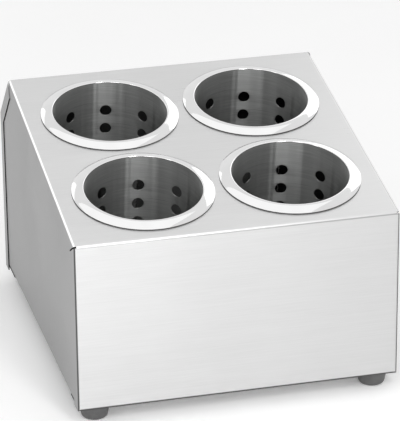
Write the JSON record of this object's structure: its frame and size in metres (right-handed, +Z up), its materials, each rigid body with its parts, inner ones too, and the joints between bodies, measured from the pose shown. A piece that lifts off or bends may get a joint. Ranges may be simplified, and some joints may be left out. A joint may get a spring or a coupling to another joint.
{
  "type": "cutlery dispenser",
  "caption": "Sloping folded-steel casing on rubber feet, with perforated round cutlery cups that hang in wells by polished rims and lift out.",
  "frame": {"origin": "on the ground under the feet, at the middle of the outline in width and depth", "axes": "+X to the right as seen from the low front, +Y from the low front to the high rear, +Z up"},
  "size_m": [0.272, 0.3072, 0.2045],
  "materials": {
    "casing_steel": "fine brushed stainless steel sheet, satin",
    "plate_steel": "plain mill-finish stainless sheet",
    "cup_steel": "satin inside and out with fine lines round the wall, rim mirror polished",
    "foot_rubber": "matt moulded dark grey rubber",
    "fastener_steel": "bright turned stainless steel"
  },
  "bodies": {
    "casing": {"casing_hood": "casing_steel", "rear_panel": "casing_steel", "corner_plate_front_left": "plate_steel", "corner_plate_front_right": "plate_steel", "corner_plate_rear_left": "plate_steel", "corner_plate_rear_right": "plate_steel", "foot_front_left": "foot_rubber", "foot_front_right": "foot_rubber", "foot_rear_left": "foot_rubber", "foot_rear_right": "foot_rubber", "foot_screws": "fastener_steel", "foot_washers": "fastener_steel", "foot_nuts": "fastener_steel"},
    "cup_front_left": {"cup_shell_front_left": "cup_steel", "cup_base_front_left": "cup_steel"},
    "cup_front_right": {"cup_shell_front_right": "cup_steel", "cup_base_front_right": "cup_steel"},
    "cup_rear_left": {"cup_shell_rear_left": "cup_steel", "cup_base_rear_left": "cup_steel"},
    "cup_rear_right": {"cup_shell_rear_right": "cup_steel", "cup_base_rear_right": "cup_steel"}
  },
  "joints": [
    {"name": "cup_front_left_lift", "type": "slide", "parent": "casing", "child": "cup_front_left", "axis": [0, -0.1759, 0.9844], "range_m": [0, 0.15]},
    {"name": "cup_front_right_lift", "type": "slide", "parent": "casing", "child": "cup_front_right", "axis": [0, -0.1759, 0.9844], "range_m": [0, 0.15]},
    {"name": "cup_rear_left_lift", "type": "slide", "parent": "casing", "child": "cup_rear_left", "axis": [0, -0.1759, 0.9844], "range_m": [0, 0.15]},
    {"name": "cup_rear_right_lift", "type": "slide", "parent": "casing", "child": "cup_rear_right", "axis": [0, -0.1759, 0.9844], "range_m": [0, 0.15]}
  ]
}
